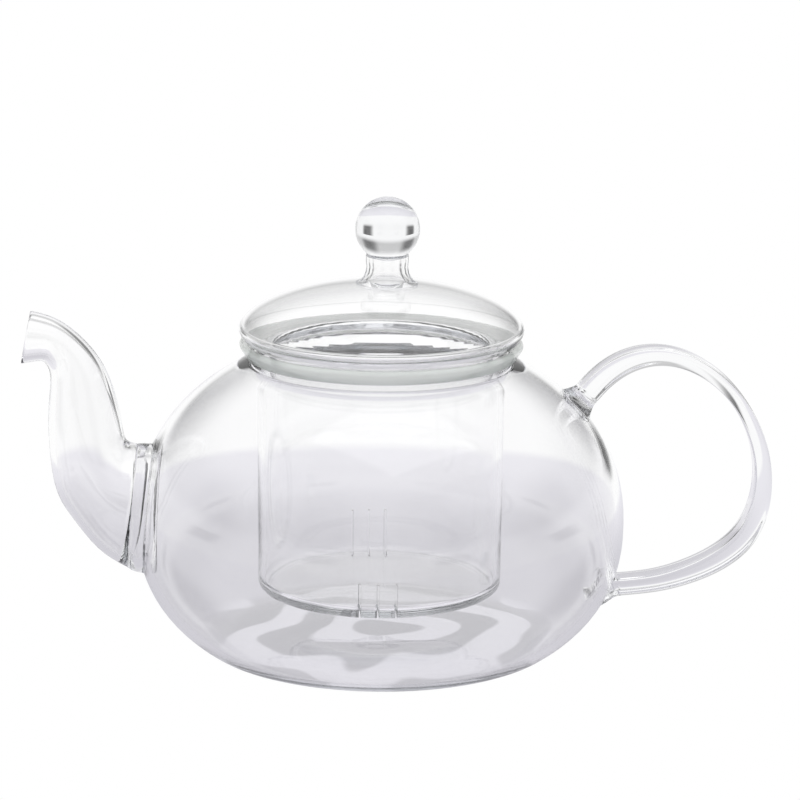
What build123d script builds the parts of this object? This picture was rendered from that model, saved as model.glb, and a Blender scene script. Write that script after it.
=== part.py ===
from build123d import *
import os
from math import cos, sin, tan, radians, hypot

# A clear glass teapot with a lift-out glass infuser and a domed glass lid.
# Millimetres. The origin is the centre of the flat base, +Z is up, the spout points to -X and the
# handle to +X. Every section below is drawn in the XZ plane as (x, z) points.

# Bowl: a squat turned body, drawn as two quarter superellipses that meet at the belly
belly_radius = 68.0
belly_height = 36.3
bowl_lower_depth, bowl_lower_power = 46.0, 2.29
bowl_upper_rise, bowl_upper_power = 52.2, 2.14
bowl_wall = 2.2
bowl_floor = 3.0
base_radius = 42.7
floor_radius = 41.2
mouth_angle = 58.2
bowl_lower_angles = (45, 34, 23, 11)
bowl_upper_angles = (0, 12, 24, 36, 48)

# Spout: opposite edge points of its round sections, from the bowl to the lip, upper edge first
spout_wall = 1.8
spout_sections = (
    ((-70.9, 59.3), (-79.5, 29.6)),
    ((-71.2, 60.8), (-86.0, 37.8)),
    ((-71.6, 63.0), (-90.5, 47.2)),
    ((-72.5, 68.5), (-92.0, 63.0)),
    ((-75.0, 76.8), (-91.4, 73.4)),
    ((-79.0, 84.0), (-91.4, 78.4)),
    ((-84.4, 89.8), (-92.6, 80.9)),
    ((-90.2, 93.6), (-94.4, 81.6)),
    ((-96.6, 95.5), (-99.4, 80.9)),
)
spout_hole_radius = 14.5
spout_hole_height = 39.6
spout_hole_cut = 30.0
spout_root_sections = (
    ((-68.4, 57.6), (-72.4, 24.2)),
    ((-65.4, 57.4), (-67.2, 20.8)),
    ((-57.0, 58.0), (-57.0, 20.4)),
)

# Handle: a flat strap, as centre-line points with the strap's thickness at each
handle_width = 9.6
handle_edge_round = 1.7
handle_stations = (
    (57.0, 71.9, 6.4), (61.7, 77.0, 6.4), (68.2, 81.2, 6.0), (76.0, 83.0, 5.3), (84.0, 81.8, 4.7),
    (91.8, 77.7, 4.2), (98.5, 71.4, 4.0), (103.4, 63.7, 4.2), (106.6, 55.2, 4.6), (107.5, 46.4, 5.0),
    (106.1, 38.1, 5.7), (102.3, 31.0, 6.2), (96.7, 25.7, 6.2), (89.4, 21.7, 5.8), (80.9, 18.8, 5.3),
    (73.6, 17.5, 5.1), (67.0, 16.9, 5.1),
)
pad_reach = 7.0
pad_flare = 1.75
pad_thick_flare = 2.0
pad_corner_share = 0.45

# Infuser: a straight cup with a rounded floor edge, a funnel-shaped mouth and a thicker flange
cup_radius = 34.0
cup_wall = 1.7
cup_floor_height = 16.7
cup_floor = 2.0
cup_corner = 2.5
cup_inner_corner = 2.0
funnel_start_height = 78.0
funnel_inner_start_height = 78.6
funnel_slope = tan(radians(31))
funnel_end_height = 83.0
flange_wall = 1.9
flange_step = 0.4
flange_top_height = 87.0
flange_rim_round = 0.9
slit_width = 0.6
slit_pitch = 4.9
slit_centre = -1.8
slit_count = 3
slit_floor_reach = 9.0
slit_overrun = 1.0
slit_outer_overrun = 4.0
front_slit_height = 10.0
rear_slit_height = 13.5

# Lid: a low dome that turns under to a short collar, with a ball on a short neck
dome_radius = 39.4
dome_widest_height = 90.8
dome_rise, dome_power = 13.2, 1.76
dome_under_depth = 5.2
dome_angles = (80, 66, 52, 38, 24, 11, 0)
dome_under_angles = (25, 50, 72, 90)
lid_wall = 1.8
collar_radius = 31.0
collar_end_height = 78.5
collar_edge_round = 0.7
knob_offset = 1.4
knob_radius = 8.9
knob_height = 118.5
neck_profile = ((8.6, 103.1), (6.7, 105.2), (5.9, 108.0), (5.9, 110.0))
neck_sink = 2.0

full_turn = 360
seam_turn = 90


def at(x, z):
    """A point of the XZ plane."""
    return Vector(x, 0, z)


def superellipse_point(radius, rise, power, angle):
    """A point of a quarter superellipse, measured from its centre."""
    return radius * cos(radians(angle)) ** (2 / power), rise * sin(radians(angle)) ** (2 / power)


def offset_points(points, distance):
    """Move each point to the left of the line's direction by distance."""
    moved = []
    for index, (x, z) in enumerate(points):
        before = points[max(index - 1, 0)]
        after = points[min(index + 1, len(points) - 1)]
        step_x, step_z = after[0] - before[0], after[1] - before[1]
        length = hypot(step_x, step_z)
        moved.append((x - distance * step_z / length, z + distance * step_x / length))
    return moved


def spline(points, ends=None):
    """A smooth edge through (x, z) points, with given directions at its two ends or none."""
    vectors = [at(x, z) for x, z in points]
    if ends is None:
        return Spline(*vectors)
    return Spline(*vectors, tangents=[at(*direction) for direction in ends])


def line(first, second):
    return Line(at(*first), at(*second))


def base_curve(radius, height, point):
    """The round from a flat disc of the radius and height up to a point of the wall."""
    return TangentArc(at(radius, height), at(*point), tangent=(1, 0, 0))


def arc(first, middle, last):
    return ThreePointArc(at(*first), at(*middle), at(*last))


def turned(edges):
    """Turn a closed XZ outline about the vertical axis, with the seam at the rear."""
    return Rot(0, 0, seam_turn) * revolve(make_face(edges), Axis.Z, full_turn)


def save(shape, node):
    solids = shape.solids()
    result = solids[0] if len(solids) == 1 else Compound(solids)
    export_step(result, f"parts/{node}.step")


# ---------------------------------------------------------------- bowl

def bowl_outline():
    """Outer points of the bowl from beside the base up to the mouth."""
    points = []
    for angle in bowl_lower_angles:
        x, drop = superellipse_point(belly_radius, bowl_lower_depth, bowl_lower_power, angle)
        points.append((x, belly_height - drop))
    for angle in bowl_upper_angles + (mouth_angle,):
        x, rise = superellipse_point(belly_radius, bowl_upper_rise, bowl_upper_power, angle)
        points.append((x, belly_height + rise))
    return points


def bowl_solid():
    """The bowl's outer shape with no hollow, used to trim what is fused to it."""
    outline = bowl_outline()
    top = outline[-1][1]
    return turned([line((0, 0), (base_radius, 0)), base_curve(base_radius, 0, outline[0]), spline(outline),
                   line(outline[-1], (0, top)), line((0, top), (0, 0))])


def bowl():
    outer = bowl_outline()
    inner = offset_points(outer, bowl_wall)
    rim_x, rim_z = ((outer[-1][0] + inner[-1][0]) / 2, (outer[-1][1] + inner[-1][1]) / 2)
    half_x, half_z = outer[-1][0] - rim_x, outer[-1][1] - rim_z
    rim_top = (rim_x - half_z, rim_z + half_x)
    body = turned([line((0, 0), (base_radius, 0)), base_curve(base_radius, 0, outer[0]), spline(outer),
                   arc(outer[-1], rim_top, inner[-1]), spline(inner),
                   base_curve(floor_radius, bowl_floor, inner[0]),
                   line((floor_radius, bowl_floor), (0, bowl_floor)),
                   line((0, bowl_floor), (0, 0))])
    return body - spout_hole()


def spout_hole():
    """The cutter for the bowl's outlet, from the bowl's inside to well past its wall."""
    cutter = Rot(0, 90, 0) * Cylinder(spout_hole_radius, spout_hole_cut)
    return Pos(-belly_radius, 0, spout_hole_height) * cutter


# ---------------------------------------------------------------- spout

def half_disc(upper, lower, inset=0.0):
    """The +Y half of a disc that stands on the line between two opposite edge points."""
    middle = (at(*upper) + at(*lower)) / 2
    across = at(*upper) - at(*lower)
    radius = across.length / 2 - inset
    top, low = middle + across.normalized() * radius, middle - across.normalized() * radius
    return make_face([ThreePointArc(top, middle + Vector(0, radius, 0), low), Line(low, top)])


def round_body(sections, inset=0.0):
    """A round body through the sections, made as two mirrored halves."""
    half = loft([half_disc(upper, lower, inset) for upper, lower in sections])
    return half + mirror(half, Plane.XZ)


def spout_tube():
    return round_body(spout_sections) - round_body(spout_sections, spout_wall)


def spout_joint():
    """The flared ring of fused glass between the spout and the bowl."""
    hole_top, hole_low = spout_hole_height + spout_hole_radius, spout_hole_height - spout_hole_radius
    tube_end = spout_sections[0]
    across = (at(*tube_end[0]) - at(*tube_end[1])).normalized() * spout_wall
    bore_start = ((tube_end[0][0] - across.X, tube_end[0][1] - across.Z),
                  (tube_end[1][0] + across.X, tube_end[1][1] + across.Z))
    bore_sections = (bore_start,) + tuple(((upper[0], hole_top), (lower[0], hole_low))
                                          for upper, lower in spout_root_sections[1:])
    return round_body(spout_sections[:1] + spout_root_sections) - round_body(bore_sections) - bowl_solid()


# ---------------------------------------------------------------- handle

def handle_side(sign):
    """Points of the strap's outer (sign 1) or inner (sign -1) side."""
    centres = [(x, z) for x, z, _ in handle_stations]
    side = []
    for index, (_, _, thickness) in enumerate(handle_stations):
        side.append(offset_points(centres, sign * thickness / 2)[index])
    return side


def handle_strap():
    outer, inner = handle_side(1), handle_side(-1)
    face = make_face([spline(outer), line(outer[-1], inner[-1]), spline(inner), line(inner[0], outer[0])])
    strap = extrude(face, handle_width / 2, dir=(0, 1, 0), both=True)
    long_edges = strap.edges().sort_by(SortBy.LENGTH)[-4:]
    return fillet(long_edges, handle_edge_round)


def handle_pad(end, neighbour):
    """The flared foot of fused glass that joins one end of the strap to the bowl."""
    start = at(end[0], end[1])
    outward = (at(neighbour[0], neighbour[1]) - start).normalized()
    near = Plane(origin=start, x_dir=Vector(0, 1, 0), z_dir=-outward)
    deep = Plane(origin=start - outward * pad_reach, x_dir=Vector(0, 1, 0), z_dir=-outward)
    thickness = end[2]
    wide, deep_thick = handle_width * pad_flare, thickness * pad_thick_flare
    first = near * RectangleRounded(handle_width, thickness, handle_edge_round)
    last = deep * RectangleRounded(wide, deep_thick, deep_thick * pad_corner_share)
    return loft([first, last]) - bowl_solid()


# ---------------------------------------------------------------- infuser

def funnel_radius(height):
    """The outside of the cup's funnel at a height."""
    return cup_radius + funnel_slope * (height - funnel_start_height)


def funnel_inside(x, z, wall):
    """The point straight through the funnel's wall from an outside point."""
    length = hypot(1, funnel_slope)
    return x - wall / length, z + wall * funnel_slope / length


def slits():
    """Fine saw cuts through the lower wall and the floor's edge, at the front and at the rear."""
    cutters = []
    low = cup_floor_height - slit_overrun
    inner_reach = cup_radius - slit_floor_reach
    outer_reach = cup_radius + slit_outer_overrun
    for side, height in ((-1, front_slit_height), (1, rear_slit_height)):
        for index in range(slit_count):
            x = slit_centre + (index - (slit_count - 1) / 2) * slit_pitch
            tall = height + slit_overrun
            wide = outer_reach - inner_reach
            middle = side * (inner_reach + outer_reach) / 2
            cutters.append(Pos(x, middle, low + tall / 2) * Box(slit_width, wide, tall))
    return cutters


def infuser_cup():
    outer_floor = (cup_radius - cup_corner, cup_floor_height)
    outer_wall = (cup_radius, cup_floor_height + cup_corner)
    inner_radius = cup_radius - cup_wall
    inner_floor_height = cup_floor_height + cup_floor
    slant = 1 - cos(radians(45))
    outer_corner_middle = (cup_radius - cup_corner * slant, cup_floor_height + cup_corner * slant)
    inner_corner_middle = (inner_radius - cup_inner_corner * slant,
                           inner_floor_height + cup_inner_corner * slant)
    mouth_outer = (funnel_radius(funnel_end_height), funnel_end_height)
    mouth_inner = funnel_inside(*mouth_outer, flange_wall)
    inner_bend = (inner_radius, funnel_inner_start_height)
    edges = [
        line((0, cup_floor_height), outer_floor),
        arc(outer_floor, outer_corner_middle, outer_wall),
        line(outer_wall, (cup_radius, funnel_start_height)),
        line((cup_radius, funnel_start_height), mouth_outer),
        line(mouth_outer, mouth_inner),
        line(mouth_inner, inner_bend),
        line(inner_bend, (inner_radius, inner_floor_height + cup_inner_corner)),
        arc((inner_radius, inner_floor_height + cup_inner_corner), inner_corner_middle,
            (inner_radius - cup_inner_corner, inner_floor_height)),
        line((inner_radius - cup_inner_corner, inner_floor_height), (0, inner_floor_height)),
        line((0, inner_floor_height), (0, cup_floor_height)),
    ]
    cup = turned(edges)
    for cutter in slits():
        cup -= cutter
    return cup


def infuser_flange():
    """The thicker ring at the mouth of the cup, which rests on the bowl's mouth."""
    low_outer = (funnel_radius(funnel_end_height), funnel_end_height)
    low_step = funnel_inside(*low_outer, -flange_step)
    low_inner = funnel_inside(*low_outer, flange_wall)
    rise = flange_top_height - low_step[1]
    top_outer = (low_step[0] + funnel_slope * rise, flange_top_height)
    inner_rise = flange_top_height - low_inner[1]
    top_inner = (low_inner[0] + funnel_slope * inner_rise, flange_top_height)
    ring = turned([line(low_inner, low_step), line(low_step, top_outer), line(top_outer, top_inner),
                   line(top_inner, low_inner)])
    rim = ring.edges().filter_by(GeomType.CIRCLE).sort_by(Axis.Z)[-2:]
    return fillet(rim, flange_rim_round)


# ---------------------------------------------------------------- lid

def dome_outline():
    """Outer points of the dome from its top, round the widest place, to the collar."""
    points = [(0, dome_widest_height + dome_rise)]
    for angle in dome_angles:
        x, rise = superellipse_point(dome_radius, dome_rise, dome_power, angle)
        points.append((x, dome_widest_height + rise))
    under = dome_radius - collar_radius
    for angle in dome_under_angles:
        points.append((collar_radius + under * cos(radians(angle)),
                       dome_widest_height - dome_under_depth * sin(radians(angle))))
    return points


def dome_solid():
    """The dome's outer shape with no hollow, used to trim the knob's neck."""
    outline = dome_outline()
    low = outline[-1][1]
    return turned([spline(outline, ends=((1, 0), (-1, 0))), line(outline[-1], (0, low)),
                   line((0, low), outline[0])])


def lid_dome():
    outer = dome_outline()
    inner = offset_points(outer, -lid_wall)
    inner[0] = (0, outer[0][1] - lid_wall)
    collar_top = dome_widest_height - dome_under_depth
    inner[-1] = (collar_radius, collar_top + lid_wall)
    slant = lid_wall * cos(radians(45))
    edges = [
        spline(outer, ends=((1, 0), (-1, 0))),
        line((collar_radius, collar_top), (collar_radius - lid_wall, collar_top)),
        arc((collar_radius - lid_wall, collar_top), (collar_radius - slant, collar_top + slant), inner[-1]),
        spline(inner, ends=((1, 0), (-1, 0))),
        line(inner[0], outer[0]),
    ]
    return turned(edges)


def lid_collar():
    """The short open cylinder under the dome, which keeps the lid centred in the cup."""
    top = dome_widest_height - dome_under_depth
    height = top - collar_end_height
    ring = Pos(0, 0, collar_end_height + height / 2) * (
        Cylinder(collar_radius, height) - Cylinder(collar_radius - lid_wall, height))
    lower_edges = ring.edges().filter_by(GeomType.CIRCLE).sort_by(Axis.Z)[:2]
    return fillet(lower_edges, collar_edge_round)


def knob_ball():
    return Pos(knob_offset, 0, knob_height) * Sphere(knob_radius)


def knob_neck():
    top = (neck_profile[-1][0], knob_height)
    low = neck_profile[0][1] - neck_sink
    outline = [line((0, low), (neck_profile[0][0], low)), line((neck_profile[0][0], low), neck_profile[0]),
               spline(neck_profile), line(neck_profile[-1], top),
               line(top, (0, knob_height)), line((0, knob_height), (0, low))]
    return Pos(knob_offset, 0, 0) * turned(outline) - knob_ball() - dome_solid()


os.makedirs("parts", exist_ok=True)
save(bowl(), "bowl")
save(spout_tube(), "spout_tube")
save(spout_joint(), "spout_joint")
save(handle_strap(), "handle_strap")
save(handle_pad(handle_stations[0], handle_stations[1]), "handle_upper_joint")
save(handle_pad(handle_stations[-1], handle_stations[-2]), "handle_lower_joint")
save(infuser_cup(), "infuser_cup")
save(infuser_flange(), "infuser_flange")
save(lid_dome(), "lid_dome")
save(lid_collar(), "lid_collar")
save(knob_neck(), "knob_neck")
save(knob_ball(), "knob_ball")
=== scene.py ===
"""A clear glass teapot with a lift-out glass infuser and a domed glass lid on a white studio floor.

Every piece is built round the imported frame, in metres, with the spout towards -X, the handle
towards +X and the base on the floor. Each operator builds one group of pieces.
"""

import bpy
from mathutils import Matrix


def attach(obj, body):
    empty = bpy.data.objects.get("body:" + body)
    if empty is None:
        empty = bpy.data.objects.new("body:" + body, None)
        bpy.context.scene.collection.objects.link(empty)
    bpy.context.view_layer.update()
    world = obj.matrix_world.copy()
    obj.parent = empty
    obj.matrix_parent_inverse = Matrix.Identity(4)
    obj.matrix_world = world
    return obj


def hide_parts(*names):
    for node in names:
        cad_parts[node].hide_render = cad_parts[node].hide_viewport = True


bl_info = {
    "name": "Clear Glass Teapot",
    "version": (1, 0, 0),
    "blender": (4, 5, 0),
    "location": "View3D > Sidebar > Teapot",
    "description": "Builds a clear glass teapot, its infuser, its lid and a white studio stage",
    "category": "Add Mesh",
}

from math import asin, cos, pi, radians, sin, sqrt, tan

import bmesh
import bpy
from mathutils import Matrix, Vector

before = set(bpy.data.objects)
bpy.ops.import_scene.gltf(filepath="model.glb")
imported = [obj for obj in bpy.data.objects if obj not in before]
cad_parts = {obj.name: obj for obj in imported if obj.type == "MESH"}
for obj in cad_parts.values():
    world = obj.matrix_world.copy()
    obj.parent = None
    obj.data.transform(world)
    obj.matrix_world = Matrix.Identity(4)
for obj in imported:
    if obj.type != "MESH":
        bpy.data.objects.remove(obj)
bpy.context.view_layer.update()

MM = 0.001
ACROSS = Vector((0, 1, 0))

# Opposite edge points (x, z) of the spout's round sections, upper edge first, from the bowl to the lip
SPOUT_SECTIONS = (
    ((-67.6, 57.5), (-70.6, 23.2)),
    ((-70.3, 58.6), (-78.6, 28.6)),
    ((-71.2, 60.8), (-86.0, 37.8)),
    ((-71.6, 63.0), (-90.5, 47.2)),
    ((-72.5, 68.5), (-92.0, 63.0)),
    ((-75.0, 76.8), (-91.4, 73.4)),
    ((-79.0, 84.0), (-91.4, 78.4)),
    ((-84.4, 89.8), (-92.6, 80.9)),
    ((-90.2, 93.6), (-94.4, 81.6)),
    ((-96.5, 95.5), (-99.2, 80.9)),
)
# The same for the flare between the spout and the bowl, and for the bore through it
FLARE_SECTIONS = (((-65.9, 57.6), (-68.9, 21.9)),)
BORE_SECTIONS = (((-66.0, 55.0), (-68.4, 25.4)),)

# The handle's centre line as (x, z, thickness), from the bowl's shoulder round to its lower side
HANDLE_STATIONS = (
    (57.0, 71.9, 6.4), (61.7, 77.0, 6.4), (68.2, 81.2, 6.0), (76.0, 83.0, 5.3), (84.0, 81.8, 4.7),
    (91.8, 77.7, 4.2), (98.5, 71.4, 4.0), (103.3, 63.7, 4.2), (106.3, 55.2, 4.6), (107.1, 46.4, 5.0),
    (105.8, 38.1, 5.7), (102.3, 31.0, 6.2), (96.7, 25.7, 6.2), (89.4, 21.7, 5.8), (80.9, 18.8, 5.3),
    (73.6, 17.5, 5.1), (67.0, 16.9, 5.1),
)

# The knob's neck as (radius, height) from the ball down to the lid
NECK_PROFILE = (
    (5.9, 111.0), (5.9, 109.5), (5.75, 108.0), (5.95, 106.6), (6.5, 105.2), (7.4, 104.1), (8.6, 103.2),
)

# A foot's stations from the strap to the bowl: (share of its length, share of its flare)
FOOT_STATIONS = ((0.0, 0.0), (0.15, 0.03), (0.4, 0.3), (0.7, 0.75), (1.0, 1.0))
FOOT_THICKENING = 1.15
FOOT_ROUNDING = 0.42

RING_POINTS = 24
ROUND_SEGMENTS = 6
UPPER_STEPS, LOWER_STEPS, BASE_STEPS, FLOOR_STEPS = 16, 14, 6, 12
DOME_STEPS, UNDER_STEPS, BALL_STEPS, KNOB_STEPS = 24, 8, 40, 96
RIPPLE_COUNT, RIPPLE_DOME, RIPPLE_WAVE = 3.5, 1.6, 0.9
PASSES = 14
JOIN_GAP = 0.01 * MM
REST_GAP = 0.02 * MM
FLOOR_DROP = 0.2 * MM
CUT_ANGLE = radians(35)
FOOT_ANGLE = radians(50)
SAWN = "sawn"

# Glass: how fast its tint grows with depth, and (size, depth) of the waves in its surface
CLEAR_DENSITY = 14.0
FLANGE_DENSITY = 330.0
BLOWN_WAVES = (26.0, 0.00012)
SOLID_WAVES = (60.0, 0.00004)
CUP_WAVES = (30.0, 0.0002)
FLANGE_WAVES = (70.0, 0.0003)

CAMERA_TARGET = Vector((5.28, -0.28, 70.3)) * MM
SENSOR_WIDTH = 36.0
LENS_LENGTH = 159.96
PANEL_PLACE = Vector((0.1, -0.1, 1.2))
PANEL_SIZE = (0.9, 0.9)
PANEL_POWER = 1.4


# ------------ settings

def length(name, description, millimetres):
    """A size in metres whose default is given in millimetres."""
    return bpy.props.FloatProperty(
        name=name, description=description, default=millimetres * MM, min=0.0, precision=5,
        subtype="DISTANCE", unit="LENGTH")


def number(name, description, value, **options):
    """A plain number setting."""
    return bpy.props.FloatProperty(name=name, description=description, default=value, **options)


def tint(name, description, value):
    """A colour setting."""
    return bpy.props.FloatVectorProperty(
        name=name, description=description, subtype="COLOR", size=3, min=0.0, max=1.0, default=value)


class BowlSettings(bpy.types.PropertyGroup):
    """Sizes of the bowl."""

    belly_radius: length("Belly radius", "Outer radius at the widest place", 68.0)
    belly_height: length("Belly height", "Height of the widest place above the floor", 36.3)
    lower_depth: length("Lower depth", "Depth of the curve below the belly, were it carried on", 46.0)
    upper_rise: length("Upper rise", "Rise of the curve above the belly, were it carried on", 52.2)
    wall: length("Wall", "Thickness of the blown wall", 2.2)
    floor: length("Floor", "Thickness of the base", 3.0)
    base_radius: length("Base radius", "Radius of the flat that stands on the table", 42.7)
    ripple: length("Floor ripple", "Height of the soft waves inside the base", 0.35)
    lower_power: number("Lower fullness", "Power of the curve below the belly", 2.29)
    upper_power: number("Upper fullness", "Power of the curve above the belly", 2.14)
    base_angle: number(
        "Base angle", "Where the wall's curve ends above the base", radians(45), subtype="ANGLE")
    mouth_angle: number(
        "Mouth angle", "Where the wall's curve ends at the mouth", radians(58.2), subtype="ANGLE")


class SpoutSettings(bpy.types.PropertyGroup):
    """Sizes of the spout and of the fused ring at its root."""

    wall: length("Wall", "Thickness of the spout's wall", 1.8)
    flare_radius: length("Flare radius", "Radius of the fused ring where it meets the bowl", 18.3)
    flare_height: length("Flare height", "Height of the fused ring's centre", 39.4)
    hole_radius: length("Hole radius", "Radius of the outlet through the bowl's wall", 14.7)


class HandleSettings(bpy.types.PropertyGroup):
    """Sizes of the handle."""

    width: length("Width", "Width of the strap, across the pot", 9.6)
    edge: length("Edge round", "How far the strap's corners are rounded off", 1.7)
    foot_reach: length("Foot reach", "Length of the flared feet", 7.0)
    foot_sink: length("Foot depth", "How deep the feet are fused into the bowl's wall", 0.4)
    foot_flare: number("Foot flare", "Width of a foot at the bowl, over the strap's width", 1.75)


class InfuserSettings(bpy.types.PropertyGroup):
    """Sizes of the infuser."""

    radius: length("Cup radius", "Outer radius of the straight cup", 34.0)
    wall: length("Cup wall", "Thickness of the cup's wall", 1.7)
    floor_height: length("Floor height", "Height of the cup's underside", 16.7)
    floor: length("Cup floor", "Thickness of the cup's floor", 2.0)
    corner: length("Floor corner", "Outer radius of the cup's lower corner", 2.5)
    funnel_start: length("Funnel start", "Height where the wall turns outwards", 78.0)
    funnel_end: length("Funnel end", "Height where the flange begins", 83.0)
    flange_wall: length("Flange wall", "Thickness of the flange", 1.9)
    flange_step: length("Flange step", "How far the flange stands proud of the funnel", 0.4)
    flange_top: length("Flange top", "Height of the flange's rim", 87.0)
    rim: length("Rim round", "Radius of the flange's rounded rim", 0.9)
    slit_width: length("Slit width", "Width of the fine saw cuts", 0.6)
    slit_pitch: length("Slit pitch", "Distance between neighbouring cuts", 4.9)
    slit_centre: length(
        "Slit centre", "Distance of the middle cut from the axis, towards the spout", 1.8)
    slit_reach: length("Slit reach", "How far the cuts run in across the floor", 9.0)
    front_slits: length("Front slit height", "Height of the cuts at the front", 10.0)
    rear_slits: length("Rear slit height", "Height of the cuts at the rear", 13.5)
    slit_count: bpy.props.IntProperty(
        name="Slits", description="Number of cuts at the front and at the rear", default=3, min=1)
    slope: number("Funnel slope", "Lean of the funnel from upright", radians(31), subtype="ANGLE")


class LidSettings(bpy.types.PropertyGroup):
    """Sizes of the lid."""

    radius: length("Dome radius", "Outer radius of the dome", 39.4)
    widest: length("Widest height", "Height of the dome's widest place", 90.8)
    rise: length("Dome rise", "Rise of the dome above its widest place", 13.2)
    under: length("Under depth", "Depth of the curve that turns under to the collar", 5.2)
    wall: length("Wall", "Thickness of the dome and the collar", 1.8)
    collar_radius: length("Collar radius", "Outer radius of the collar", 31.0)
    collar_end: length("Collar end", "Height of the collar's lower edge", 78.5)
    knob_radius: length("Knob radius", "Radius of the ball", 8.9)
    knob_height: length("Knob height", "Height of the ball's centre", 118.5)
    knob_offset: length(
        "Knob offset", "How far the hand-set ball is from the axis, towards the handle", 1.4)
    neck_wall: length("Neck wall", "Thickness of the drawn-up neck under the ball", 1.7)
    power: number("Dome fullness", "Power of the dome's curve", 1.76)


class GlassSettings(bpy.types.PropertyGroup):
    """Finish of the glass."""

    colour: tint("Glass colour", "What thick clear glass lets through", (0.80, 0.82, 0.85))
    flange_colour: tint(
        "Flange colour", "What the thick glass of the flange lets through", (0.56, 0.62, 0.56))
    bend: number("Refractive index", "How strongly the glass bends light", 1.47, min=1.0)
    sawn_roughness: number(
        "Sawn roughness", "Roughness of the sawn faces of the slits", 0.55,
        min=0.0, max=1.0, subtype="FACTOR")


class StageSettings(bpy.types.PropertyGroup):
    """Light, floor and camera."""

    floor_colour: tint("Floor colour", "The white of the floor and the backdrop", (1.0, 1.0, 1.0))
    # Painted shade: seen through the glass, the floor is painted grey close round the pot, fading to
    # white further out.
    near_shade_colour: tint(
        "Near painted shade colour", "The floor's tone close round the pot, as glass shows it", (0.64, 0.63, 0.675))
    shade_edge_colour: tint("Painted shade edge colour", "The floor's tone where the grey ends", (0.84, 0.83, 0.875))
    shade_near_radius: length("Near radius", "Radius within which the floor keeps its near tone", 90.0)
    shade_far_radius: length("Far radius", "Radius at which the grey ends", 236.0)
    edge_width: length("Edge width", "Width of the step from grey to white", 22.0)
    flag_count: bpy.props.IntProperty(
        name="Flag count", description="Number of dark flags round the stage", default=6, min=1)
    # Also the tone of the dark strips painted on the floor, seen only through the glass.
    flag_tone: number("Flag tone", "Brightness of the dark flags round the stage", 0.16, min=0.0)
    camera_distance: length("Camera distance", "Distance of the camera from its target", 985.7)
    camera_azimuth: number(
        "Camera azimuth", "Turn of the camera about the pot", radians(-3.0), subtype="ANGLE")
    camera_elevation: number(
        "Camera elevation", "Height of the camera above the horizon", radians(13.28), subtype="ANGLE")
    camera_roll: number(
        "Camera roll", "Turn of the camera about its line of sight", radians(0.6), subtype="ANGLE")


# ------------ shape helpers

def superellipse(radius, rise, power, angle):
    """A point of a quarter superellipse, from its centre."""
    return Vector((radius * cos(angle) ** (2 / power), rise * sin(angle) ** (2 / power)))


def offset_path(path, distances):
    """A path's points moved to its right-hand side, which is inwards on a wall that runs down."""
    moved = []
    for index, point in enumerate(path):
        step = path[min(index + 1, len(path) - 1)] - path[max(index - 1, 0)]
        step.normalize()
        moved.append(point + Vector((step.y, -step.x)) * distances[index])
    return moved


def round_turn(first, last, outward, segments=ROUND_SEGMENTS):
    """Points between first and last on the half circle that bulges outward."""
    middle, half = (first + last) / 2, (first - last) / 2
    bulge = outward.normalized() * half.length
    return [middle + half * cos(pi * k / segments) + bulge * sin(pi * k / segments)
            for k in range(1, segments)]


def rounded_path(corners, segments=ROUND_SEGMENTS):
    """A line through (x, z, radius) corners, each rounded, with a holding point beside each round."""
    path = []
    for index, (x, z, radius) in enumerate(corners):
        here = Vector((x, z))
        if radius == 0:
            path.append(here)
            continue
        before = (Vector(corners[index - 1][:2]) - here).normalized()
        after = (Vector(corners[(index + 1) % len(corners)][:2]) - here).normalized()
        half = before.angle(after) / 2
        centre = here + (before + after).normalized() * (radius / sin(half))
        start, end = here + before * (radius / tan(half)), here + after * (radius / tan(half))
        arm, far_arm, swing = start - centre, end - centre, pi - 2 * half
        hold = radius / 4
        path.append(start + before * hold)
        for k in range(segments + 1):
            share = k / segments
            reach = arm * sin((1 - share) * swing) + far_arm * sin(share * swing)
            path.append(centre + reach / sin(swing))
        path.append(end + after * hold)
    return path


def through(points):
    """Cage points whose smoothed line passes through the given points."""
    cage = [point.copy() for point in points]
    for _ in range(PASSES):
        for index in range(1, len(points) - 1):
            cage[index] += points[index] - (cage[index - 1] + 4 * cage[index] + cage[index + 1]) / 6
    return cage


def mesh_from(name, shape):
    """A mesh of the shape, which is then freed."""
    mesh = bpy.data.meshes.new(name)
    shape.to_mesh(mesh)
    shape.free()
    return mesh


def new_object(name, mesh):
    """An object at the origin that holds the mesh."""
    piece = bpy.data.objects.new(name, mesh)
    bpy.context.scene.collection.objects.link(piece)
    return piece


def turned(name, path, closed=False, steps=128):
    """A piece turned about the Z axis from a path of (radius, height) points."""
    mesh = bpy.data.meshes.new(name)
    edges = [(k, k + 1) for k in range(len(path) - 1)]
    if closed:
        edges.append((len(path) - 1, 0))
    mesh.from_pydata([(max(point.x, 0.0), 0.0, point.y) for point in path], edges, [])
    piece = new_object(name, mesh)
    screw = piece.modifiers.new("Turn", "SCREW")
    screw.axis = "Z"
    screw.angle = 2 * pi
    screw.steps = screw.render_steps = steps
    screw.use_merge_vertices = True
    screw.merge_threshold = 0.001 * MM
    screw.use_smooth_shade = True
    return piece


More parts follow.
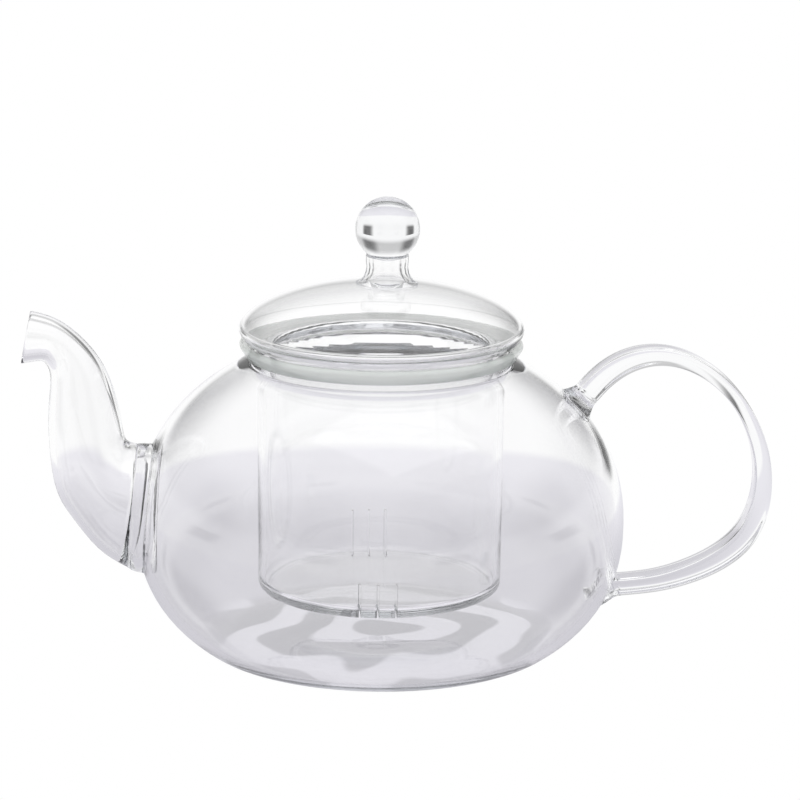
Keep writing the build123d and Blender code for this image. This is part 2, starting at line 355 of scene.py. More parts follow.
def caged(name, loops, ring=False, creased=(), levels=2):
    """A smooth piece over a cage of equal loops, capped unless its last loop joins its first."""
    shape = bmesh.new()
    rows = [[shape.verts.new(point) for point in loop] for loop in loops]
    count = len(loops[0])
    pairs = list(zip(rows, rows[1:]))
    if ring:
        pairs.append((rows[-1], rows[0]))
    else:
        shape.faces.new(rows[0])
        shape.faces.new(list(reversed(rows[-1])))
    for near, far in pairs:
        for k in range(count):
            shape.faces.new((near[k], far[k], far[(k + 1) % count], near[(k + 1) % count]))
    bmesh.ops.recalc_face_normals(shape, faces=shape.faces)
    crease = shape.edges.layers.float.new("crease_edge")
    for row in creased:
        for k in range(count):
            shape.edges.get((rows[row][k], rows[row][(k + 1) % count]))[crease] = 1.0
    for face in shape.faces:
        face.smooth = True
    piece = new_object(name, mesh_from(name, shape))
    smooth = piece.modifiers.new("Smooth", "SUBSURF")
    smooth.levels = smooth.render_levels = levels
    return piece


def settle(piece):
    """Applies a piece's whole stack to its mesh."""
    view = bpy.context.evaluated_depsgraph_get()
    mesh = bpy.data.meshes.new_from_object(piece.evaluated_get(view))
    mesh.name = piece.name
    piece.modifiers.clear()
    piece.data = mesh


def remove(helper):
    """Removes a helper and its mesh."""
    mesh = helper.data
    bpy.data.objects.remove(helper)
    bpy.data.meshes.remove(mesh)


def cut(piece, cutter, sharp=CUT_ANGLE):
    """Takes a closed cutter out of a piece, removes the cutter and keeps the cut's edges crisp."""
    slice_off = piece.modifiers.new("Cut", "BOOLEAN")
    slice_off.operation = "DIFFERENCE"
    slice_off.solver = "EXACT"
    slice_off.object = cutter
    settle(piece)
    remove(cutter)
    piece.data.set_sharp_from_angle(angle=sharp)


def bar(name, low, high):
    """A plain box between two corners, used only as a cutter."""
    shape = bmesh.new()
    bmesh.ops.create_cube(shape, size=1.0)
    size, middle = high - low, (high + low) / 2
    bmesh.ops.transform(shape, matrix=Matrix.Translation(middle) @ Matrix.Diagonal(size).to_4x4(),
                        verts=shape.verts)
    return new_object(name, mesh_from(name, shape))


def finished(piece, body, nodes, material):
    """Gives a piece its glass and its place in the frame."""
    piece.data.materials.clear()
    piece.data.materials.append(material)
    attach(piece, body)
    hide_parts(*nodes)


# ------------ materials

def empty_tree(owner):
    """The cleared nodes and links of a material or world."""
    owner.use_nodes = True
    tree = owner.node_tree
    tree.nodes.clear()
    return tree.nodes, tree.links


def add_frame(nodes, label):
    """A labelled frame that groups nodes."""
    group = nodes.new("NodeFrame")
    group.label = label
    return group


def add_node(nodes, kind, label, place, group=None, inputs=None, **settings):
    """A labelled node in its place, with its own settings and the values of its free inputs."""
    node = nodes.new(kind)
    node.label = label
    node.location = place
    node.parent = group
    for name, value in settings.items():
        setattr(node, name, value)
    for name, value in (inputs or {}).items():
        node.inputs[name].default_value = value
    return node


def soft_step(nodes, label, place, group, low, high, start=0.0, end=1.0):
    """A soft step from start, at low, to end, at high."""
    return add_node(
        nodes, "ShaderNodeMapRange", label, place, group, interpolation_type="SMOOTHSTEP",
        inputs={"From Min": low, "From Max": high, "To Min": start, "To Max": end})


def link(links, wires):
    """Joins nodes by (node, output, node, input)."""
    for source, output, target, socket in wires:
        links.new(source.outputs[output], target.inputs[socket])


def glass_material(name, colour, density, bend, waves_made, sawn_roughness=None):
    """Hand-worked glass: soft waves, fine drawn lines, and a tint that grows with depth."""
    wave_size, wave_depth = waves_made
    known = bpy.data.materials.get(name)
    if known:
        return known
    material = bpy.data.materials.new(name)
    nodes, links = empty_tree(material)

    wave_frame = add_frame(nodes, "Soft waves left by blowing")
    line_frame = add_frame(nodes, "Fine lines left by drawing")
    body_frame = add_frame(nodes, "Clear glass and its depth")

    place = add_node(nodes, "ShaderNodeTexCoord", "Position on the piece", (-1300, 100))

    waves = add_node(
        nodes, "ShaderNodeTexNoise", "Slow waves in the wall", (-900, 200), wave_frame,
        inputs={"Scale": wave_size, "Detail": 1.5, "Roughness": 0.4})
    wave_bump = add_node(
        nodes, "ShaderNodeBump", "Wall leans with the waves", (-500, 200), wave_frame,
        inputs={"Strength": 1.0, "Distance": wave_depth})

    stretch = add_node(
        nodes, "ShaderNodeMapping", "Lines run round the piece", (-1100, -150), line_frame,
        inputs={"Scale": (40.0, 40.0, 260.0)})
    lines = add_node(
        nodes, "ShaderNodeTexNoise", "Drawn lines", (-900, -150), line_frame,
        inputs={"Scale": 1.0, "Detail": 2.0})
    line_bump = add_node(
        nodes, "ShaderNodeBump", "Lines just felt in the surface", (-300, -100), line_frame,
        inputs={"Strength": 1.0, "Distance": wave_depth / 25})

    shader = add_node(
        nodes, "ShaderNodeBsdfPrincipled", "Polished glass", (0, 100), body_frame,
        inputs={"Base Color": (1.0, 1.0, 1.0, 1.0), "Roughness": 0.0, "IOR": bend,
                "Transmission Weight": 1.0})
    depth = add_node(
        nodes, "ShaderNodeVolumeAbsorption", "Tint that grows with depth", (0, -350), body_frame,
        inputs={"Color": (*colour, 1.0), "Density": density})
    output = add_node(nodes, "ShaderNodeOutputMaterial", "Glass", (350, 0))

    link(links, (
        (place, "Object", waves, "Vector"), (waves, "Fac", wave_bump, "Height"),
        (place, "Object", stretch, "Vector"), (stretch, "Vector", lines, "Vector"),
        (lines, "Fac", line_bump, "Height"), (wave_bump, "Normal", line_bump, "Normal"),
        (line_bump, "Normal", shader, "Normal"), (shader, "BSDF", output, "Surface"),
        (depth, "Volume", output, "Volume"),
    ))

    if sawn_roughness is not None:
        cut_frame = add_frame(nodes, "Frosted faces of the saw cuts")
        mark = add_node(
            nodes, "ShaderNodeAttribute", "Faces left by the saw", (-700, -500), cut_frame,
            attribute_name=SAWN)
        frost = add_node(
            nodes, "ShaderNodeMapRange", "Polished to frosted", (-450, -500), cut_frame,
            inputs={"To Min": 0.0, "To Max": sawn_roughness})
        link(links, (
            (mark, "Fac", frost, "Value"), (frost, "Result", shader, "Roughness"),
        ))
    return material


def clear_glass(settings, name="clear_blown_glass", waves_made=BLOWN_WAVES):
    """The untinted glass of most pieces."""
    return glass_material(name, settings.colour, CLEAR_DENSITY, settings.bend, waves_made)


# ------------ bowl

def bowl_wall_path(bowl):
    """Outer points of the bowl from the mouth down to the edge of its flat base."""
    path = []
    for k in range(UPPER_STEPS + 1):
        angle = bowl.mouth_angle * (1 - k / UPPER_STEPS)
        point = superellipse(bowl.belly_radius, bowl.upper_rise, bowl.upper_power, angle)
        path.append(Vector((point.x, bowl.belly_height + point.y)))
    for k in range(1, LOWER_STEPS + 1):
        angle = bowl.base_angle * k / LOWER_STEPS
        point = superellipse(bowl.belly_radius, bowl.lower_depth, bowl.lower_power, angle)
        path.append(Vector((point.x, bowl.belly_height - point.y)))
    reach, rise = path[-1].x - bowl.base_radius, path[-1].y
    radius = (reach * reach + rise * rise) / (2 * rise)
    swing = asin(reach / radius)
    for k in range(1, BASE_STEPS + 1):
        angle = swing * (1 - k / BASE_STEPS)
        path.append(Vector((bowl.base_radius + radius * sin(angle), radius * (1 - cos(angle)))))
    return path


def bowl_radius_at(bowl, height):
    """The bowl's outer radius at a height above its base curve."""
    above = height > bowl.belly_height
    rise = bowl.upper_rise if above else bowl.lower_depth
    power = bowl.upper_power if above else bowl.lower_power
    share = abs(height - bowl.belly_height) / rise
    return bowl.belly_radius * (1 - share ** power) ** (1 / power)


def bowl_plug(bowl, depth):
    """A solid of the bowl's outside, shrunk by a depth, used only as a cutter."""
    wall = bowl_wall_path(bowl)
    path = offset_path(wall, [depth] * len(wall))
    return turned("bowl_plug", [Vector((0, path[0].y))] + path + [Vector((0, path[-1].y))])


class TEAPOT_OT_bowl(bpy.types.Operator):
    """Build the blown bowl with its open mouth and the outlet to the spout"""

    bl_idname = "teapot.bowl"
    bl_label = "Bowl"

    def execute(self, context):
        scene = context.scene
        bowl, spout = scene.teapot_bowl, scene.teapot_spout
        outer = bowl_wall_path(bowl)
        walls = [bowl.wall] * (len(outer) - BASE_STEPS)
        walls += [bowl.wall + (bowl.floor - bowl.wall) * k / BASE_STEPS
                  for k in range(1, BASE_STEPS + 1)]
        inner = offset_path(outer, walls)
        floor = []
        for k in range(1, FLOOR_STEPS + 1):
            share = 1 - k / FLOOR_STEPS
            dome = (1 - share * share) ** 2
            wave = sin(share * RIPPLE_COUNT * pi) * share
            rise = bowl.ripple * (RIPPLE_DOME * dome - RIPPLE_WAVE * wave)
            floor.append(Vector((bowl.base_radius * share, bowl.floor + rise)))
        rim = round_turn(inner[0], outer[0], outer[0] - outer[1])
        path = list(reversed(inner + floor)) + rim + outer
        path += [Vector((bowl.base_radius - bowl.floor / 3, 0)), Vector((0, 0))]
        piece = turned("bowl_glass", path)
        shape = bmesh.new()
        reach = bowl.belly_radius / 2
        bmesh.ops.create_cone(
            shape, cap_ends=True, segments=4 * RING_POINTS, radius1=spout.flare_radius,
            radius2=spout.flare_radius, depth=reach,
            matrix=(Matrix.Translation((-bowl.belly_radius, 0, spout.flare_height))
                    @ Matrix.Rotation(pi / 2, 4, "Y")))
        cut(piece, new_object("outlet", mesh_from("outlet", shape)))
        finished(piece, "pot", ["bowl"], clear_glass(scene.teapot_glass))
        return {"FINISHED"}


# ------------ spout

def edge_points(section):
    """A section's upper and lower edge points."""
    return [Vector((x * MM, 0, z * MM)) for x, z in section]


def round_loop(upper, lower, inset=0.0):
    """A ring of cage points whose smoothed circle stands on the line between two edge points."""
    middle, half = (upper + lower) / 2, (upper - lower) / 2
    smoothing = 2 / 3 + cos(2 * pi / RING_POINTS) / 3
    radius = (half.length - inset) / smoothing
    half.normalize()
    angles = [2 * pi * k / RING_POINTS for k in range(RING_POINTS)]
    return [middle + half * (radius * cos(angle)) + ACROSS * (radius * sin(angle)) for angle in angles]


def loop_on_bowl(bowl, radius, height, depth):
    """A ring of points round the outlet, on the bowl's surface or a depth below it."""
    loop = []
    for k in range(RING_POINTS):
        angle = 2 * pi * k / RING_POINTS
        y, z = radius * sin(angle), height + radius * cos(angle)
        out = bowl_radius_at(bowl, z) - depth
        loop.append(Vector((-sqrt(out * out - y * y), y, z)))
    return loop


class TEAPOT_OT_spout(bpy.types.Operator):
    """Build the curved spout and the flared ring that fuses it to the bowl"""

    bl_idname = "teapot.spout"
    bl_label = "Spout"

    def execute(self, context):
        scene = context.scene
        bowl, spout = scene.teapot_bowl, scene.teapot_spout
        sections = [edge_points(section) for section in SPOUT_SECTIONS]
        last, lip = sections[-2], sections[-1]
        sections.insert(-1, [last[k].lerp(lip[k], 0.82) for k in (0, 1)])
        uppers = through([section[0] for section in sections])
        lowers = through([section[1] for section in sections])
        outside = [round_loop(upper, lower) for upper, lower in zip(uppers, lowers)]
        inside = [round_loop(upper, lower, spout.wall) for upper, lower in zip(uppers, lowers)]
        tube = caged("spout_tube_glass", outside + list(reversed(inside)), ring=True,
                     creased=(0, 2 * len(outside) - 1))
        root = edge_points(SPOUT_SECTIONS[0])
        gap = Vector((JOIN_GAP, 0, 0))
        loops = [[point + gap for point in round_loop(*root)]]
        loops += [round_loop(*edge_points(section)) for section in FLARE_SECTIONS]
        loops.append(loop_on_bowl(bowl, spout.flare_radius, spout.flare_height, 0))
        loops.append(loop_on_bowl(bowl, spout.flare_radius, spout.flare_height, bowl.wall))
        loops.append(loop_on_bowl(bowl, spout.hole_radius, spout.flare_height, bowl.wall))
        loops += [round_loop(*edge_points(section)) for section in BORE_SECTIONS]
        loops.append([point + gap for point in round_loop(*root, spout.wall)])
        joint = caged("spout_joint_glass", loops, ring=True, creased=(0, 2, 3, len(loops) - 1))
        glass = clear_glass(scene.teapot_glass)
        finished(tube, "pot", ["spout_tube"], glass)
        finished(joint, "pot", ["spout_joint"], glass)
        return {"FINISHED"}


# ------------ handle

def strap_loop(centre, outward, width, thickness, edge):
    """Twelve cage points of a flat section with rounded corners, standing across its line."""
    half_width, half_thick = width / 2, thickness / 2
    corner = min(edge * 1.1, half_thick * 0.9)
    nick = corner * 0.15
    turn = ((half_width, half_thick - corner), (half_width - nick, half_thick - nick),
            (half_width - corner, half_thick))
    loop = []
    for index, (side, face) in enumerate(((1, 1), (-1, 1), (-1, -1), (1, -1))):
        for across, out in (turn if index % 2 == 0 else turn[::-1]):
            loop.append(centre + ACROSS * (side * across) + outward * (face * out))
    return loop


def strap_frames():
    """Centre, outward direction and thickness at each station of the handle."""
    centres = [Vector((x * MM, 0, z * MM)) for x, z, _ in HANDLE_STATIONS]
    frames = []
    for index, centre in enumerate(centres):
        along = centres[min(index + 1, len(centres) - 1)] - centres[max(index - 1, 0)]
        along.normalize()
        frames.append((centre, Vector((-along.z, 0, along.x)), HANDLE_STATIONS[index][2] * MM))
    return frames


def foot(name, bowl, handle, end, neighbour):
    """The flared foot of fused glass at one end of the strap."""
    centre, outward, thickness = end
    along = (centre - neighbour[0]).normalized()
    outward = (outward - along * outward.dot(along)).normalized()
    loops = []
    for share, flare in FOOT_STATIONS:
        wide = handle.width * (1 + (handle.foot_flare - 1) * flare)
        thick = thickness * (1 + (handle.foot_flare * FOOT_THICKENING - 1) * flare)
        edge = handle.edge + (thick * FOOT_ROUNDING - handle.edge) * flare
        place = centre + along * (handle.foot_reach * share + JOIN_GAP)
        loops.append(strap_loop(place, outward, wide, thick, edge))
    piece = caged(name, loops, creased=(0, len(loops) - 1))
    settle(piece)
    plug = bowl_plug(bowl, handle.foot_sink)
    cut(piece, plug, FOOT_ANGLE)
    return piece


class TEAPOT_OT_handle(bpy.types.Operator):
    """Build the solid strap handle and the two feet that fuse it to the bowl"""

    bl_idname = "teapot.handle"
    bl_label = "Handle"

    def execute(self, context):
        scene = context.scene
        bowl, handle = scene.teapot_bowl, scene.teapot_handle
        frames = strap_frames()
        centres = through([centre for centre, _, _ in frames])
        loops = [strap_loop(centre, outward, handle.width, thickness, handle.edge)
                 for centre, (_, outward, thickness) in zip(centres, frames)]
        strap = caged("handle_strap_glass", loops, creased=(0, len(loops) - 1), levels=3)
        upper = foot("handle_upper_foot_glass", bowl, handle, frames[0], frames[1])
        lower = foot("handle_lower_foot_glass", bowl, handle, frames[-1], frames[-2])
        glass = clear_glass(scene.teapot_glass, "clear_solid_glass", SOLID_WAVES)
        finished(strap, "pot", ["handle_strap"], glass)
        finished(upper, "pot", ["handle_upper_joint"], glass)
        finished(lower, "pot", ["handle_lower_joint"], glass)
        return {"FINISHED"}


# ------------ infuser

def through_wall(point, slope, wall):
    """The point straight through the leaning funnel's wall."""
    return point + Vector((-cos(slope), sin(slope))) * wall


def saw_slits(cup, infuser):
    """Cuts the fine slits and marks the faces that the saw leaves."""
    low = infuser.floor_height - infuser.floor
    inner, outer = infuser.radius - infuser.slit_reach, infuser.radius + infuser.wall
    places = []
    for side, height in ((-1, infuser.front_slits), (1, infuser.rear_slits)):
        for k in range(infuser.slit_count):
            x = (k - (infuser.slit_count - 1) / 2) * infuser.slit_pitch - infuser.slit_centre
            ys = sorted((side * inner, side * outer))
            top = infuser.floor_height + height
            places.append((Vector((x - infuser.slit_width / 2, ys[0], low)),
                           Vector((x + infuser.slit_width / 2, ys[1], top))))
    for lowest, highest in places:
        cut(cup, bar("slit", lowest, highest))
    marks = cup.data.attributes.new(SAWN, "FLOAT", "FACE")
    for face in cup.data.polygons:
        for lowest, highest in places:
            inside = all(lowest[k] - REST_GAP < face.center[k] < highest[k] + REST_GAP
                         for k in range(3))
            side_face = abs(face.normal.x) > 0.9
            top_face = abs(face.center.z - highest.z) < REST_GAP
            end_face = abs(abs(face.center.y) - inner) < REST_GAP
            if inside and (side_face or top_face or end_face):
                marks.data[face.index].value = 1.0


class TEAPOT_OT_infuser(bpy.types.Operator):
    """Build the infuser's cup with its fine slits, and the flange that rests on the bowl's mouth"""

    bl_idname = "teapot.infuser"
    bl_label = "Infuser"

    def execute(self, context):
        scene = context.scene
        infuser, glass = scene.teapot_infuser, scene.teapot_glass
        slope = tan(infuser.slope)
        inside = infuser.radius - infuser.wall
        floor_top = infuser.floor_height + infuser.floor
        spread = slope * (infuser.funnel_end - infuser.funnel_start)
        mouth = Vector((infuser.radius + spread, infuser.funnel_end))
        mouth_inner = through_wall(mouth, infuser.slope, infuser.flange_wall)
        bend = 1.6 * MM
        path = [Vector((0, floor_top))]
        path += rounded_path([
            (0, floor_top, 0),
            (inside, floor_top, infuser.corner * 0.8),
            (inside, infuser.floor_height + infuser.front_slits, 0),
            (inside, infuser.floor_height + infuser.rear_slits, 0),
            (inside, infuser.funnel_start + 0.6 * MM, bend),
            (mouth_inner.x, mouth_inner.y, 0.3 * MM),
            (mouth.x, mouth.y, 0.3 * MM),
            (infuser.radius, infuser.funnel_start, bend),
            (infuser.radius, infuser.floor_height + infuser.rear_slits, 0),
            (infuser.radius, infuser.floor_height + infuser.front_slits, 0),
            (infuser.radius, infuser.floor_height, infuser.corner),
            (0, infuser.floor_height, 0),
        ])[1:]
        cup = turned("infuser_cup_glass", path)
        settle(cup)
        saw_slits(cup, infuser)
        low_outer = through_wall(mouth, infuser.slope, -infuser.flange_step)
        rise = infuser.flange_top - low_outer.y
        inner_rise = infuser.flange_top - mouth_inner.y
        flange = turned("infuser_flange_glass", rounded_path([
            (mouth_inner.x, mouth_inner.y + REST_GAP, 0.25 * MM),
            (mouth_inner.x + slope * inner_rise, infuser.flange_top, infuser.rim * 0.9),
            (low_outer.x + slope * rise, infuser.flange_top, infuser.rim * 0.9),
            (low_outer.x, low_outer.y + REST_GAP, 0.5 * MM),
        ]), closed=True)
        cup_glass = glass_material("clear_cup_glass", glass.colour, CLEAR_DENSITY, glass.bend,
                                   CUP_WAVES, glass.sawn_roughness)
        flange_glass = glass_material("flange_glass", glass.flange_colour, FLANGE_DENSITY,
                                      glass.bend, FLANGE_WAVES)
        finished(cup, "infuser", ["infuser_cup"], cup_glass)
        finished(flange, "infuser", ["infuser_flange"], flange_glass)
        return {"FINISHED"}


# ------------ lid

def dome_path(lid):
    """Outer points of the dome from its top, round the widest place, down to the collar."""
    path = [Vector((0, lid.widest + lid.rise))]
    for k in range(1, DOME_STEPS + 1):
        angle = pi / 2 * (1 - k / DOME_STEPS)
        point = superellipse(lid.radius, lid.rise, lid.power, angle)
        path.append(Vector((point.x, lid.widest + point.y)))
    under = lid.radius - lid.collar_radius
    for k in range(1, UNDER_STEPS + 1):
        angle = pi / 2 * k / UNDER_STEPS
        path.append(Vector((lid.collar_radius + under * cos(angle),
                            lid.widest - lid.under * sin(angle))))
    return path


def ball_underside(lid, radius):
    """The height of the ball's lower side at a radius."""
    return lid.knob_height - sqrt(lid.knob_radius ** 2 - radius * radius)


class TEAPOT_OT_lid(bpy.types.Operator):
    """Build the lid's dome and collar, and the ball knob on its neck"""

    bl_idname = "teapot.lid"
    bl_label = "Lid"

    def execute(self, context):
        scene = context.scene
        lid = scene.teapot_lid
        outer = dome_path(lid)
        inner = offset_path(outer, [lid.wall] * len(outer))
        inner[0] = Vector((0, outer[0].y - lid.wall))
        collar_top = outer[-1].y
        inner = [point for point in inner if point.y > collar_top + lid.wall * 0.8]
        end = [Vector((lid.collar_radius - lid.wall * 0.2, collar_top)),
               Vector((lid.collar_radius - lid.wall * 0.8, collar_top)),
               Vector((lid.collar_radius - lid.wall, collar_top + lid.wall * 0.2)),
               Vector((lid.collar_radius - lid.wall * 0.8, collar_top + lid.wall * 0.7))]
        dome = turned("lid_dome_glass", outer + end + list(reversed(inner)))
        low, high = lid.collar_end, collar_top - REST_GAP
        bore = lid.collar_radius - lid.wall
        collar = turned("lid_collar_glass", rounded_path([
            (bore, low, lid.wall * 0.4), (bore, high, 0.15 * MM),
            (lid.collar_radius, high, 0.15 * MM), (lid.collar_radius, low, lid.wall * 0.4),
        ]), closed=True)
        angles = [pi * k / BALL_STEPS for k in range(BALL_STEPS + 1)]
        ball = turned("knob_ball_glass", [
            Vector((lid.knob_radius * sin(angle), lid.knob_height + lid.knob_radius * cos(angle)))
            for angle in angles], steps=KNOB_STEPS)
        neck_outer = [Vector((radius * MM, height * MM)) for radius, height in NECK_PROFILE]
        seat = neck_outer[0].x
        neck_outer.insert(0, Vector((seat - 0.1 * MM, ball_underside(lid, seat))))
        walls = [lid.neck_wall] * len(neck_outer)
        neck_inner = offset_path(neck_outer, walls)
        touch = neck_inner[0].x
        neck_inner[0] = Vector((touch, ball_underside(lid, touch) - REST_GAP))
        neck_outer[0].y -= REST_GAP
        neck_path = neck_outer + list(reversed(neck_inner))
        neck = turned("knob_neck_glass", neck_path, closed=True, steps=KNOB_STEPS)
        for piece in (ball, neck):
            settle(piece)
            piece.data.transform(Matrix.Translation((lid.knob_offset, 0, 0)))
        neck.data.set_sharp_from_angle(angle=FOOT_ANGLE)
        glass = clear_glass(scene.teapot_glass)
        solid = clear_glass(scene.teapot_glass, "clear_solid_glass", SOLID_WAVES)
        finished(dome, "lid", ["lid_dome"], glass)
        finished(collar, "lid", ["lid_collar"], glass)
        finished(ball, "lid", ["knob_ball"], solid)
        finished(neck, "lid", ["knob_neck"], solid)
        return {"FINISHED"}


# ------------ stage

def flag_wave(nodes, links, group, place, output, count, row):
    """A wave round the pot that is 1 in the middle of each flag, after its place's parts."""
    split = add_node(nodes, "ShaderNodeSeparateXYZ", "Parts of the place", (-1500, row), group)
    turn = add_node(nodes, "ShaderNodeMath", "Turn about the pot", (-1300, row), group,
                    operation="ARCTAN2")
    times = add_node(nodes, "ShaderNodeMath", "One wave for each flag", (-1100, row), group,
                     operation="MULTIPLY", inputs={1: count})
    wave = add_node(nodes, "ShaderNodeMath", "Flags and gaps in turn", (-900, row), group,
                    operation="COSINE")
    link(links, (
        (place, output, split, "Vector"), (split, "Y", turn, 0), (split, "X", turn, 1),
        (turn, "Value", times, 0), (times, "Value", wave, 0),
    ))
    return split, wave


def floor_material(stage):
    """A glowing white floor. Through glass it shows painted shade and light: a soft grey painted close
    round the pot, painted bright and dark streaks under the base and painted dark strips far out.
    """
    material = bpy.data.materials.new("white_studio_floor")
    nodes, links = empty_tree(material)
    # Painted shade: a grey painted on the floor close round the pot, seen only through the glass.
    painted_shade_frame = add_frame(nodes, "Painted shade close round the pot")
    painted_streak_frame = add_frame(nodes, "Painted light gathered by the base")
    ray_frame = add_frame(nodes, "Plain white when seen directly")

    place = add_node(nodes, "ShaderNodeTexCoord", "Position on the floor", (-1500, 0))
    distance = add_node(
        nodes, "ShaderNodeVectorMath", "Distance from the pot", (-1250, 100), painted_shade_frame,
        operation="LENGTH")
    shade_fade = soft_step(
        nodes, "Painted shade to white", (-1000, 100), painted_shade_frame, stage.shade_near_radius, stage.shade_far_radius)
    tone = add_node(
        nodes, "ShaderNodeMix", "Painted floor shade through glass", (-700, 100), painted_shade_frame, data_type="RGBA",
        inputs={"A": (*stage.near_shade_colour, 1.0), "B": (*stage.shade_edge_colour, 1.0)})

    # Painted light and shade: bright and dark streaks painted on the floor under the pot, seen only
    # through the glass.
    swirl = add_node(
        nodes, "ShaderNodeTexWave", "Bent light under the base", (-1250, -250), painted_streak_frame,
        wave_type="RINGS", rings_direction="Z",
        inputs={"Scale": 13.0, "Distortion": 7.0, "Detail": 1.0, "Detail Scale": 2.0})
    crest = add_node(
        nodes, "ShaderNodeMapRange", "Bright and dark streaks", (-1000, -250), painted_streak_frame,
        inputs={"From Min": 0.40, "From Max": 0.60, "To Min": 0.80, "To Max": 1.3})
    under = soft_step(nodes, "Only under the pot", (-1000, -550), painted_streak_frame, 0.038, 0.058, 1.0, 0.0)
    gathered = add_node(
        nodes, "ShaderNodeMix", "Painted streaks over the painted shade", (-400, 0), painted_streak_frame, data_type="RGBA",
        blend_type="MULTIPLY")

    beyond = soft_step(
        nodes, "Edge of the painted shade", (-700, 350), painted_shade_frame, stage.shade_far_radius,
        stage.shade_far_radius + stage.edge_width)
    whitened = add_node(
        nodes, "ShaderNodeMix", "White beyond the edge", (-250, -150), painted_shade_frame, data_type="RGBA",
        inputs={"B": (*stage.floor_colour, 1.0)})

    # Painted shade: dark strips painted far out on the floor, seen only through the glass, carrying the
    # studio's dark flags down onto it.
    flag_frame = add_frame(nodes, "Painted dark strips under the flags, far out on the floor")
    _, wave = flag_wave(nodes, links, flag_frame, place, "Object", stage.flag_count, -850)
    strips = soft_step(nodes, "Width of the painted dark strips", (-700, -850), flag_frame, 0.35, 0.95)
    outside = soft_step(nodes, "Only far from the pot", (-700, -1100), flag_frame, 0.40, 0.60)
    both = add_node(
        nodes, "ShaderNodeMath", "Painted dark strips there", (-500, -850), flag_frame, operation="MULTIPLY")
    flagged = add_node(
        nodes, "ShaderNodeMix", "Painted dark strips over the floor", (-150, -350), flag_frame,
        data_type="RGBA", inputs={"B": (stage.flag_tone, stage.flag_tone, stage.flag_tone, 1.0)})

    ray = add_node(nodes, "ShaderNodeLightPath", "Kind of ray", (-400, 400), ray_frame)
    seen = add_node(
        nodes, "ShaderNodeMix", "White to the eye", (-100, 100), ray_frame, data_type="RGBA",
        inputs={"B": (*stage.floor_colour, 1.0)})
    glow = add_node(nodes, "ShaderNodeEmission", "Lit floor", (150, 100), ray_frame)
    output = add_node(nodes, "ShaderNodeOutputMaterial", "Floor", (400, 100))

    link(links, (
        (place, "Object", distance, 0), (distance, "Value", shade_fade, "Value"),
        (shade_fade, "Result", tone, "Factor"), (place, "Object", swirl, "Vector"),
        (swirl, "Fac", crest, "Value"), (distance, "Value", under, "Value"),
        (under, "Result", gathered, "Factor"), (tone, "Result", gathered, "A"),
        (crest, "Result", gathered, "B"), (distance, "Value", beyond, "Value"),
        (gathered, "Result", whitened, "A"), (beyond, "Result", whitened, "Factor"),
        (wave, "Value", strips, "Value"),
        (distance, "Value", outside, "Value"), (strips, "Result", both, 0),
        (outside, "Result", both, 1), (both, "Value", flagged, "Factor"),
        (whitened, "Result", flagged, "A"), (flagged, "Result", seen, "A"),
        (ray, "Is Camera Ray", seen, "Factor"), (seen, "Result", glow, "Color"),
        (glow, "Emission", output, "Surface"),
    ))
    return material


def studio_world(stage):
    """A white studio with soft dark flags round it and a bright ceiling."""
    world = bpy.data.worlds.new("white_studio")
    nodes, links = empty_tree(world)
    flag_frame = add_frame(nodes, "Dark flags round the studio")
    ceiling_frame = add_frame(nodes, "Bright ceiling")
    ray_frame = add_frame(nodes, "Plain white when seen directly")

    place = add_node(nodes, "ShaderNodeTexCoord", "Direction", (-1700, 0))
    split, wave = flag_wave(nodes, links, flag_frame, place, "Generated", stage.flag_count, 100)
    flags = soft_step(
        nodes, "Width and tone of the flags", (-700, 100), flag_frame, 0.95, -0.4, stage.flag_tone, 0.6)

    above = soft_step(nodes, "Up to the ceiling", (-900, -250), ceiling_frame, 0.3, 0.62)
    low = soft_step(nodes, "Up from the horizon", (-900, -500), ceiling_frame, 0.02, 0.16)
    gap = add_node(
        nodes, "ShaderNodeMix", "Horizon or flags", (-650, -250), ceiling_frame, data_type="FLOAT",
        inputs={"A": 1.0})
    lit = add_node(
        nodes, "ShaderNodeMix", "Walls or ceiling", (-450, 0), ceiling_frame, data_type="FLOAT",
        inputs={"B": 1.1})

    ray = add_node(nodes, "ShaderNodeLightPath", "Kind of ray", (-450, 350), ray_frame)
    seen = add_node(
        nodes, "ShaderNodeMix", "White to the eye", (-200, 100), ray_frame, data_type="FLOAT",
        inputs={"B": 1.0})
    sky = add_node(
        nodes, "ShaderNodeBackground", "Studio light", (50, 100), ray_frame,
        inputs={"Color": (*stage.floor_colour, 1.0)})
    output = add_node(nodes, "ShaderNodeOutputWorld", "Studio", (300, 100))

    link(links, (
        (wave, "Value", flags, "Value"),
        (split, "Z", above, "Value"), (above, "Result", lit, "Factor"), (split, "Z", low, "Value"),
        (low, "Result", gap, "Factor"), (flags, "Result", gap, "B"), (gap, "Result", lit, "A"),
        (lit, "Result", seen, "A"), (ray, "Is Camera Ray", seen, "Factor"),
        (seen, "Result", sky, "Strength"), (sky, "Background", output, "Surface"),
    ))
    return world


def add_panel_light(name, place, target, size, power):
    """A soft rectangular light that faces a target and isn't seen itself."""
    data = bpy.data.lights.new(name, "AREA")
    data.shape = "RECTANGLE"
    data.size, data.size_y = size
    data.energy = power
    light = bpy.data.objects.new(name, data)
    light.location = place
    light.rotation_euler = (target - place).to_track_quat("-Z", "Y").to_euler()
    light.visible_camera = False
    bpy.context.scene.collection.objects.link(light)


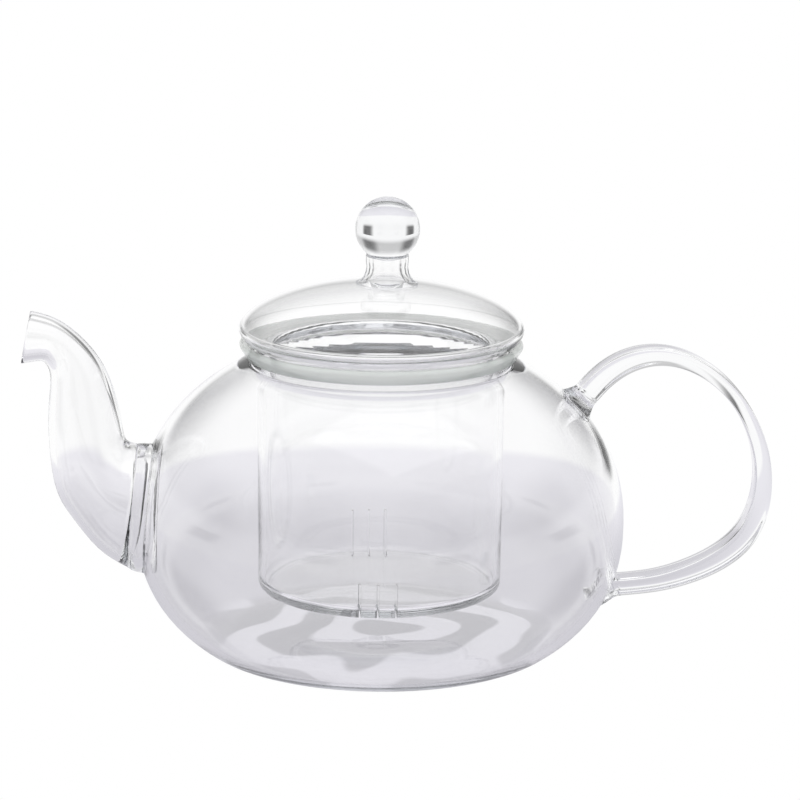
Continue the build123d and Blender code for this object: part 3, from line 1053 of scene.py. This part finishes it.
class TEAPOT_OT_stage(bpy.types.Operator):
    """Build the white floor, the studio light and the camera"""

    bl_idname = "teapot.stage"
    bl_label = "Stage"

    def execute(self, context):
        scene = context.scene
        stage = scene.teapot_stage
        shape = bmesh.new()
        bmesh.ops.create_circle(shape, cap_ends=True, segments=96, radius=stage.camera_distance * 6)
        mesh = mesh_from("studio_floor", shape)
        mesh.transform(Matrix.Translation((0, 0, -FLOOR_DROP)))
        mesh.materials.append(floor_material(stage))
        floor = new_object("studio_floor", mesh)
        scene.world = studio_world(stage)

        add_panel_light("overhead_panel", PANEL_PLACE, CAMERA_TARGET, PANEL_SIZE, PANEL_POWER)

        lens = bpy.data.cameras.new("studio_camera")
        lens.sensor_width = SENSOR_WIDTH
        lens.lens = LENS_LENGTH
        lens.clip_start, lens.clip_end = 0.01, 20.0
        camera = bpy.data.objects.new("studio_camera", lens)
        scene.collection.objects.link(camera)
        turn, lift = stage.camera_azimuth, stage.camera_elevation
        away = Vector((sin(turn) * cos(lift), -cos(turn) * cos(lift), sin(lift)))
        camera.location = CAMERA_TARGET + away * stage.camera_distance
        look = (-away).to_track_quat("-Z", "Y")
        roll = Matrix.Rotation(stage.camera_roll, 3, "Z")
        camera.rotation_euler = (look.to_matrix() @ roll).to_euler()
        scene.camera = camera

        scene.view_settings.view_transform = "Standard"
        scene.cycles.max_bounces = 48
        scene.cycles.transmission_bounces = 48
        scene.cycles.glossy_bounces = 24
        scene.cycles.transparent_max_bounces = 32
        scene.cycles.sample_clamp_indirect = 0.0
        return {"FINISHED"}


# ------------ panel

class TEAPOT_PT_panel(bpy.types.Panel):
    """Lists the teapot's pieces and their sizes"""

    bl_idname = "TEAPOT_PT_panel"
    bl_label = "Teapot"
    bl_space_type = "VIEW_3D"
    bl_region_type = "UI"
    bl_category = "Teapot"

    def draw(self, context):
        layout = self.layout
        for name, (settings, operator) in PIECES.items():
            box = layout.box()
            box.operator(operator)
            group = getattr(context.scene, name)
            for item in settings.__annotations__:
                box.prop(group, item)


PIECES = {
    "teapot_bowl": (BowlSettings, "teapot.bowl"),
    "teapot_spout": (SpoutSettings, "teapot.spout"),
    "teapot_handle": (HandleSettings, "teapot.handle"),
    "teapot_infuser": (InfuserSettings, "teapot.infuser"),
    "teapot_lid": (LidSettings, "teapot.lid"),
    "teapot_stage": (StageSettings, "teapot.stage"),
}

CLASSES = (
    BowlSettings, SpoutSettings, HandleSettings, InfuserSettings, LidSettings, GlassSettings,
    StageSettings, TEAPOT_OT_bowl, TEAPOT_OT_spout, TEAPOT_OT_handle, TEAPOT_OT_infuser,
    TEAPOT_OT_lid, TEAPOT_OT_stage, TEAPOT_PT_panel,
)


def register():
    for item in CLASSES:
        bpy.utils.register_class(item)
    for name, (settings, _) in PIECES.items():
        setattr(bpy.types.Scene, name, bpy.props.PointerProperty(type=settings))
    bpy.types.Scene.teapot_glass = bpy.props.PointerProperty(type=GlassSettings)


def unregister():
    del bpy.types.Scene.teapot_glass
    for name in PIECES:
        delattr(bpy.types.Scene, name)
    for item in reversed(CLASSES):
        bpy.utils.unregister_class(item)


def main():
    register()
    bpy.ops.teapot.bowl()
    bpy.ops.teapot.spout()
    bpy.ops.teapot.handle()
    bpy.ops.teapot.infuser()
    bpy.ops.teapot.lid()
    bpy.ops.teapot.stage()


if __name__ == "__main__":
    main()
